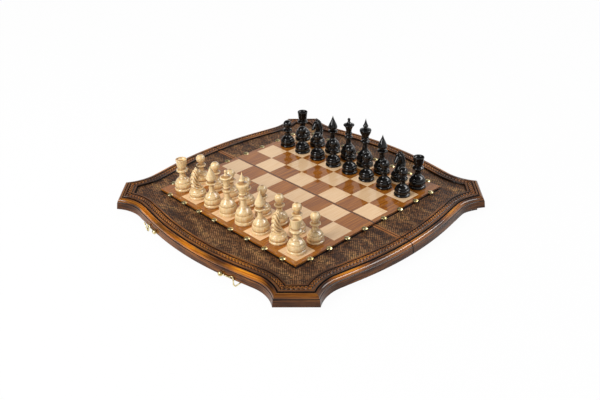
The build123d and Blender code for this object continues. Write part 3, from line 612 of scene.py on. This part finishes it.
# Profiles from the foot up, as radius and height: two numbers end a straight, four an arc
# with a point on it, six a curve with its two handles. The king's tip is lower by the air
# that is left under its foot.
pawn_nape = (5.2, 48.4 - sqrt(8.8 ** 2 - 5.2 ** 2))
queen_nape = (2.2, 85.5 - sqrt(3.1 ** 2 - 2.2 ** 2))
turnings = {
    "king": foot(17.2, 5.0, 41.0, 7.0, 19.0) + [
        (4.8, 47.0), (6.0, 49.0), (8.9, 51.0, 6.6, 53.4), (5.6, 54.6), (5.5, 57.0),
        (7.8, 58.6, 6.4, 60.4), (6.8, 66.0, 11.0, 69.0, 11.6, 75.0),
        (11.6, 77.0, 9.6, 78.2), (3.8, 80.4), (3.2, 82.4), (5.3, 84.4, 4.6, 87.2),
        (2.6, 91.0, 0.9, 97.0, 0, 101.98)],
    "queen": foot(16.8, 4.9, 38.5, 6.4, 18.0) + [
        (4.6, 43.5), (5.6, 45.4), (8.2, 47.4, 6.0, 49.6), (5.2, 50.8), (5.2, 53.2),
        (7.4, 55.0, 5.8, 57.0), (5.2, 62.0, 6.4, 69.0, 11.0, 73.0),
        (11.2, 73.8, 10.6, 74.8), (6.6, 76.0, 3.0, 78.4, *queen_nape),
        (3.1, 85.5, 0, 88.6)],
    "bishop": foot(16.4, 4.8, 34.0, 5.4, 16.0) + [
        (4.6, 40.0), (5.4, 41.8), (9.4, 44.6), (10.2, 46.0, 9.0, 47.4), (5.4, 49.2),
        (5.2, 50.8), (9.3, 54.4, 8.8, 58.6), (7.4, 64.0, 2.2, 72.0, 0, 81.0)],
    "rook": foot(16.6, 5.8, 30.0, 5.6, 16.4) + [
        (5.6, 34.0), (6.6, 35.6), (9.8, 38.0), (11.0, 40.2, 9.8, 42.6), (7.6, 44.4),
        (7.6, 45.8), (9.4, 47.6, 9.4, 54.0, 10.6, 62.4), (10.2, 63.4, 9.2, 62.8),
        (8.6, 59.6, 5.0, 58.0, 0, 57.8)],
    "pawn": foot(15.4, 5.2, 26.0, 4.8, 14.4) + [
        (5.0, 29.5), (6.0, 31.4), (8.6, 33.4), (9.6, 34.9, 8.4, 36.4), (5.4, 38.4),
        pawn_nape, (8.8, 48.4, 0, 57.2)],
    "knight": foot(16.4, 11.4, 18.0, 5.2, 13.4) + [(11.4, 19.0), (0, 19.0)],
}


def profile_of(steps):
    """Close points along a turning's profile."""
    last, line = (0, 0), [(0, 0)]
    for step in steps:
        if len(step) == 2:
            cuts = max(1, round(np.hypot(step[0] - last[0], step[1] - last[1]) / 1.2))
            line += [tuple(p) for p in np.linspace(last, step, cuts + 1)[1:]]
        elif len(step) == 4:
            line += arc(last, step[:2], step[2:], 10)
        else:
            line += bend(last, step)
        last = step[-2:]
    return np.array(line)


def hollowness(line):
    """How far each point of a profile lies in from the mean radius within 2.6 mm above and
    below it, where 1.1 mm or more counts as 1."""
    out = line[:, 0]
    near = np.abs(line[:, 1][:, None] - line[:, 1][None]) < 2.6
    mean = (near * out[None]).sum(1) / near.sum(1)
    return np.clip((mean - out) / 1.1, 0, 1)


def lathe(name, line, sides=72):
    """Spin a profile about Z as one closed mesh with a hollow mark."""
    spin = np.linspace(0, 2 * pi, sides, endpoint=False)
    inner = line[1:-1]
    points = [(0, 0, line[0][1])] + [
        (r * cos(t), r * sin(t), z) for r, z in inner for t in spin] + [(0, 0, line[-1][1])]
    faces = [[0, 1 + (k + 1) % sides, 1 + k] for k in range(sides)]
    for ring in range(len(inner) - 1):
        low, high = 1 + ring * sides, 1 + (ring + 1) * sides
        faces += [[low + k, low + (k + 1) % sides, high + (k + 1) % sides, high + k]
                  for k in range(sides)]
    last = 1 + (len(inner) - 1) * sides
    faces += [[last + k, last + (k + 1) % sides, len(points) - 1] for k in range(sides)]
    mesh = bpy.data.meshes.new(name)
    mesh.from_pydata((np.array(points) / 1000).tolist(), [], faces)
    deep = hollowness(line)
    marks = np.r_[deep[0], np.repeat(deep[1:-1], sides), deep[-1]].astype(np.float32)
    mesh.attributes.new("hollow", "FLOAT", "POINT").data.foreach_set("value", marks)
    mesh.shade_smooth()
    mesh.set_sharp_from_angle(angle=radians(35))
    return mesh


# Boxwood: cream with a faint straight grain up the man, 30 mm long and drawn 2 mm wide so
# that it shows, tan in the coves with stain and painted shade, wet gloss.
boxwood, tree, shader = finish("lacquered_boxwood")
place = node(tree, "TexCoord", {}).outputs["Object"]
which = node(tree, "ObjectInfo", {}).outputs["Random"]
upright = node(tree, "VectorMath", {0: place, 1: (1 / 0.0022, 1 / 0.0022, 1 / 0.03)},
               operation="MULTIPLY")
own_piece = node(tree, "Math", {0: which, 1: 90.0}, operation="MULTIPLY")
grown = node(tree, "VectorMath", {0: upright, 1: node(tree, "CombineXYZ", {0: own_piece})},
             operation="ADD")
grain = node(tree, "TexNoise", {"Vector": grown, "Scale": 1, "Detail": 4,
                                "Roughness": 0.55})
cream = node(tree, "ValToRGB", {"Fac": grain}, stops=[
    (0.30, "#dfb980"), (0.45, "#ebca94"), (0.60, "#f1d5a4"), (0.75, "#f6e0b4")])
# Tan in the coves, by stain and painted shade.
cove = node(tree, "Attribute", {}, attribute_name="hollow")
cove_stain_and_shade = node(tree, "MapRange", {"Value": cove.outputs["Fac"], "From Min": 0.05,
                                "From Max": 0.9, "To Max": 0.8})
darkened = node(tree, "MixRGB", {"Fac": cove_stain_and_shade, "Color1": cream, "Color2": "#a06a2a"})
node(tree, shader, {"Base Color": darkened, "Roughness": 0.38, "Specular IOR Level": 0.3,
                    "Subsurface Weight": 0.08, "Subsurface Radius": (0.004, 0.0025, 0.0012),
                    "Coat Weight": 0.9, "Coat Roughness": 0.05,
                    "Normal": node(tree, "Bump", {"Height": grain, "Strength": 0.05,
                                                  "Distance": 0.0003})})

# Ebonised beech: black with the least brown streak, under the same dipped gloss.
ebonised, tree, shader = finish("ebonised_beech")
place = node(tree, "TexCoord", {}).outputs["Object"]
grain = node(tree, "TexNoise", {"Vector": node(
    tree, "VectorMath", {0: place, 1: (1 / 0.002, 1 / 0.002, 1 / 0.03)},
    operation="MULTIPLY"), "Scale": 1, "Detail": 3})
dyed = node(tree, "ValToRGB", {"Fac": grain}, stops=[
    (0.40, "#060404"), (0.62, "#0b0706"), (0.80, "#170d08")])
node(tree, shader, {"Base Color": dyed, "Roughness": 0.3, "Specular IOR Level": 0.1,
                    "Coat Weight": 0.7, "Coat Roughness": 0.03,
                    "Normal": node(tree, "Bump", {"Height": grain, "Strength": 0.04,
                                                  "Distance": 0.0003})})

# The knight's head is carved by hand: a bent neck and a long face, with deep gouge cuts
# that sweep from the crest down to the chest, and a gap under the jaw.
neck = [  # forward, up, lean of the section's normal, half depth, half breadth
    (0.0, 17.0, 90, 9.4, 9.0), (-1.6, 22.0, 94, 9.2, 8.6), (-3.8, 28.0, 98, 8.2, 7.8),
    (-4.8, 33.5, 92, 7.3, 7.0), (-4.2, 39.0, 82, 7.2, 6.5), (-2.6, 44.0, 72, 7.6, 6.2),
    (-0.9, 48.5, 62, 7.4, 5.8), (0.6, 52.5, 58, 6.0, 5.0), (1.4, 55.6, 60, 4.0, 3.8),
    (1.8, 57.2, 65, 1.6, 1.8)]
face = [
    (-1.0, 51.0, -45, 5.2, 4.4), (1.8, 51.0, -46, 6.3, 5.6), (5.0, 48.8, -48, 6.1, 5.5),
    (8.0, 46.0, -50, 5.0, 4.7), (10.6, 43.4, -52, 4.1, 4.0), (12.9, 41.1, -55, 3.7, 3.8),
    (14.1, 39.7, -60, 3.3, 3.5), (14.7, 38.7, -66, 2.2, 2.5), (14.9, 38.2, -70, 1.0, 1.2)]
ear = [(0.4, 54.6, 84, 2.1, 1.5), (0.8, 57.0, 84, 2.0, 1.4), (1.1, 59.2, 84, 1.3, 1.0),
       (1.2, 61.4, 84, 0.3, 0.25)]


def limb(line, steps, cut=None, aside=0.0, sides=56):
    """Loft rounded sections along a bent line, with cuts pressed in from outside."""
    line = np.array(line, float)
    where = np.linspace(0, len(line) - 1, steps)
    path = np.array([[np.interp(w, np.arange(len(line)), line[:, k]) for k in range(5)]
                     for w in where])
    soft = np.copy(path)
    for _ in range(3):
        soft[1:-1] = (path[:-2] + path[1:-1] * 2 + path[2:]) / 4
        path = np.copy(soft)
    rows = []
    spin = np.linspace(0, 2 * pi, sides, endpoint=False)
    c, s = np.cos(spin), np.sin(spin)
    for t, (f, z, lean, deep, broad) in zip(np.linspace(0, 1, steps), path):
        press = cut(t, c) if cut else 0 * c
        fore = (deep - 0.8 * press) * np.sign(c) * np.abs(c) ** 0.85
        side = (broad - press) * np.sign(s) * np.abs(s) ** 0.85
        nf, nz = cos(radians(lean - 90)), sin(radians(lean - 90))
        rows.append(np.stack([aside + side, f + fore * nf, z + fore * nz], -1))
    return rows


def mane_cut(t, c):
    """A crest along the back, at c = -1, crossed by six gouge cuts that sweep forward."""
    sweep = 6.4 * (t + 0.20 * c)
    groove = np.clip(1 - np.abs((sweep % 1) - 0.5) / 0.34, 0, 1)
    rear = ease(-c, -0.55, 0.0)
    along = ease(t, 0.06, 0.14) * (1 - ease(t, 0.88, 0.97))
    return (2.7 * groove * rear - 0.9 * ease(-c, 0.0, 0.2)) * along


def face_cut(t, c):
    """Eye sockets, and a hollow along each cheek behind the muzzle."""
    eye = np.exp(-((t - 0.33) / 0.06) ** 2 - ((c + 0.25) / 0.3) ** 2)
    cheek = np.exp(-((t - 0.62) / 0.08) ** 2 - (c / 0.5) ** 2)
    return 1.5 * eye + 0.9 * cheek


def horse():
    """Neck, face and ears fused and smoothed as one carving."""
    lumps = [limb(neck, 90, mane_cut), limb(face, 50, face_cut),
             limb(ear, 14, aside=2.3, sides=20), limb(ear, 14, aside=-2.3, sides=20)]
    pieces = [skin("lump", rows) for rows in lumps]
    whole = bpy.data.meshes.new("horse")
    points, faces = [], []
    for piece in pieces:
        faces += [[v + len(points) for v in f.vertices] for f in piece.data.polygons]
        points += [v.co[:] for v in piece.data.vertices]
        mesh = piece.data
        bpy.data.objects.remove(piece)
        bpy.data.meshes.remove(mesh)
    whole.from_pydata(points, [], faces)
    carving = stand_in_scene("horse", whole)
    fuse = carving.modifiers.new("fuse", "REMESH")
    fuse.mode, fuse.voxel_size, fuse.use_smooth_shade = "VOXEL", 0.00042, True
    sand = carving.modifiers.new("sand", "SMOOTH")
    sand.iterations, sand.factor = 3, 0.5
    depsgraph = bpy.context.evaluated_depsgraph_get()
    fused = bpy.data.meshes.new_from_object(carving.evaluated_get(depsgraph))
    bpy.data.objects.remove(carving)
    bpy.data.meshes.remove(whole)
    return fused


# A head point this far in from the mean of its neighbours, in mm, holds the most stain
# and painted shade.
full_hollow = 0.022


def with_horse(name, base, head):
    """Join the carved head to its turned foot, marking its own hollows."""
    count = len(head.vertices)
    co, normal = np.empty(count * 3), np.empty(count * 3)
    head.vertices.foreach_get("co", co)
    head.vertices.foreach_get("normal", normal)
    co, normal = co.reshape(-1, 3), normal.reshape(-1, 3)
    ends = np.empty(len(head.edges) * 2, int)
    head.edges.foreach_get("vertices", ends)
    ends = ends.reshape(-1, 2)
    total, links = np.zeros((count, 3)), np.zeros(count)
    for a, b in ((0, 1), (1, 0)):
        np.add.at(total, ends[:, a], co[ends[:, b]])
        np.add.at(links, ends[:, a], 1)
    deep = ((total / links[:, None] - co) * normal).sum(1) * 1000
    for _ in range(6):
        total = np.zeros(count)
        for a, b in ((0, 1), (1, 0)):
            np.add.at(total, ends[:, a], deep[ends[:, b]])
        deep = (deep + total / links) / 2
    # The head's hollows take stain and painted shade.
    marks = np.clip(deep / full_hollow, 0, 1)
    old = np.empty(len(base.vertices), np.float32)
    base.attributes["hollow"].data.foreach_get("value", old)
    points = [v.co[:] for v in base.vertices] + co.tolist()
    start = len(base.vertices)
    faces = [list(f.vertices) for f in base.polygons]
    faces += [[v + start for v in f.vertices] for f in head.polygons]
    mesh = bpy.data.meshes.new(name)
    mesh.from_pydata(points, [], faces)
    mesh.attributes.new("hollow", "FLOAT", "POINT").data.foreach_set(
        "value", np.r_[old, marks].astype(np.float32))
    mesh.shade_smooth()
    mesh.set_sharp_from_angle(angle=radians(40))
    return mesh


# In metres. A hair of air under each foot keeps it off the board in every pose.
board_top, foot_gap = 0.035, 0.00002
meshes = {kind: lathe(kind, profile_of(steps)) for kind, steps in turnings.items()}
meshes["knight"] = with_horse("knight_on_foot", meshes["knight"], horse())
back_rank = ("rook", "knight", "bishop", "queen", "king", "bishop", "knight", "rook")
for colour_name, side, wood, finish_slot in (
        ("white", -1, boxwood, "light_men"), ("black", 1, ebonised, "dark_men")):
    for kind in turnings:
        dressed = meshes[kind].copy()
        dressed.name = f"{colour_name}_{kind}_turning"
        dressed.materials.append(wood)
        for file in range(8):
            if kind != "pawn" and back_rank[file] != kind:
                continue
            alone = kind in ("king", "queen")
            part = f"{colour_name}_{kind}" + ("" if alone else f"_{'abcdefgh'[file]}")
            man = stand_in_scene(part + "_turned", dressed)
            rank = 2.5 if kind == "pawn" else 3.5
            man.location = ((file - 3.5) * square, side * (seam_edging + rank * square),
                            board_top + foot_gap)
            man.rotation_euler.z = 0 if side < 0 else pi
            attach(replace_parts(man, part), part)

# --- The photographer's table ---------------------------------------------------------
# A seamless white sweep under a tent of diffusers. The key stands to the left of the
# camera and a weaker panel hangs overhead. A window strip behind on the right shows only in
# gloss, as a white line along the moulding.


def seen_outright(tree):
    """Which rays come from the lens straight, by way of gloss or through glass, and which
    of them come straight."""
    ray = node(tree, "LightPath", {}).outputs
    either = node(tree, "Math", {0: ray["Is Camera Ray"], 1: ray["Is Glossy Ray"]},
                  operation="ADD")
    outright = node(tree, "Math", {0: either, 1: ray["Is Transmission Ray"]},
                    operation="ADD", use_clamp=True)
    return outright, ray["Is Camera Ray"]


# Matt paper, 97 parts of it plain white to the lens, and 3 lit so that the shadow shows.
paper, tree, shader = finish("white_paper")
node(tree, shader, {"Base Color": "#f2f2f2", "Roughness": 0.9})
seen, by_lens = seen_outright(tree)
share = node(tree, "Math", {0: seen, 1: 0.97}, operation="MULTIPLY")
glow = node(tree, "Emission", {"Color": "#ffffff", "Strength": 1.0})
lit = node(tree, "MixShader", {0: share, 1: shader, 2: glow})
below = node(tree, "NewGeometry", {}).outputs["Backfacing"]
clear = node(tree, "BsdfTransparent", {})
one_sided = node(tree, "MixShader", {0: below, 1: lit, 2: clear})
node(tree, tree.nodes["Material Output"], {"Surface": one_sided})
sheet = bpy.data.meshes.new("paper_sweep")
sheet.from_pydata([(x, y, -0.0002) for x, y in ((-9, -9), (9, -9), (9, 9), (-9, 9))],
                  [], [(0, 1, 2, 3)])
sheet.materials.append(paper)
paper_sweep = stand_in_scene("paper_sweep", sheet)

room = bpy.data.worlds.new("tent")
bpy.context.scene.world = room
room.use_nodes = True
tree = room.node_tree
tree.nodes.clear()
seen, by_lens = seen_outright(tree)
# The tent's back and right are white, its top is open to a dimmer ceiling, and its front,
# left of the camera, is open to a dim room, so the lacquer there keeps its depth of colour.
look = node(tree, "TexCoord", {}).outputs["Generated"]
up = node(tree, "SeparateXYZ", {0: look}).outputs[2]
side_white = node(tree, "ValToRGB", {"Fac": up}, stops=[
    (0.0, "#ffffff"), (0.86, "#7a7a7a"), (1.0, "#6a6a6a")])
frontward = node(tree, "VectorMath", {0: look, 1: (-0.66, -0.75, 0.0)},
                 operation="DOT_PRODUCT")
opening = node(tree, "ValToRGB", {"Fac": frontward.outputs["Value"]}, stops=[
    (0.05, "#ffffff"), (0.6, "#4c4c4c")])
walls = node(tree, "MixRGB", {"Fac": 1.0, "Color1": side_white, "Color2": opening},
             blend_type="MULTIPLY")
tent = node(tree, "Background", {"Strength": 1.0, "Color": node(
    tree, "MixRGB", {"Fac": by_lens, "Color1": walls, "Color2": "#ffffff"})})
soft = node(tree, "Background", {"Color": "#ffffff", "Strength": 0.34})
mixed = node(tree, "MixShader", {0: seen, 1: soft, 2: tent})
node(tree, "OutputWorld", {"Surface": mixed})

# Where each lamp stands and its size, in metres, and its watts. The overhead panel is
# hidden from gloss, so that it leaves no bright patch on the board.
for name, spot, size, power in (("key", (-0.2, -2.2, 1.5), (1.2, 1.2), 54),
                                ("overhead", (-0.3, 0.4, 2.4), (1.4, 1.4), 18),
                                ("window", (1.6, 1.5, 1.75), (2.4, 0.8), 55)):
    lamp = bpy.data.lights.new(name, "AREA")
    lamp.shape, lamp.size, lamp.size_y, lamp.energy = "RECTANGLE", *size, power
    stand = stand_in_scene(name, lamp)
    stand.location = spot
    stand.visible_diffuse, stand.visible_glossy = name != "window", name != "overhead"
    stand.rotation_euler = (-Vector(spot)).to_track_quat("-Z", "Y").to_euler()

# The lens and the stand are the photograph's, worked back from the board's own squares.
heading, dip, tilt = radians(46.52), radians(29.15), radians(1.003)
forward = Vector((-sin(heading) * cos(dip), cos(heading) * cos(dip), -sin(dip)))
level = forward.cross(Vector((0, 0, 1))).normalized()
plumb = forward.cross(level)
rightward = cos(tilt) * level + sin(tilt) * plumb
downward = cos(tilt) * plumb - sin(tilt) * level
lens = bpy.data.cameras.new("camera")
lens.sensor_width, lens.lens = 36.0, 47.56
camera = stand_in_scene("camera", lens)
aim = Matrix((rightward, -downward, -forward)).transposed().to_4x4()
camera.matrix_world = Matrix.Translation((0.97695, -0.92745, 0.7586)) @ aim
bpy.context.scene.camera = camera
bpy.context.scene.view_settings.view_transform = "Standard"
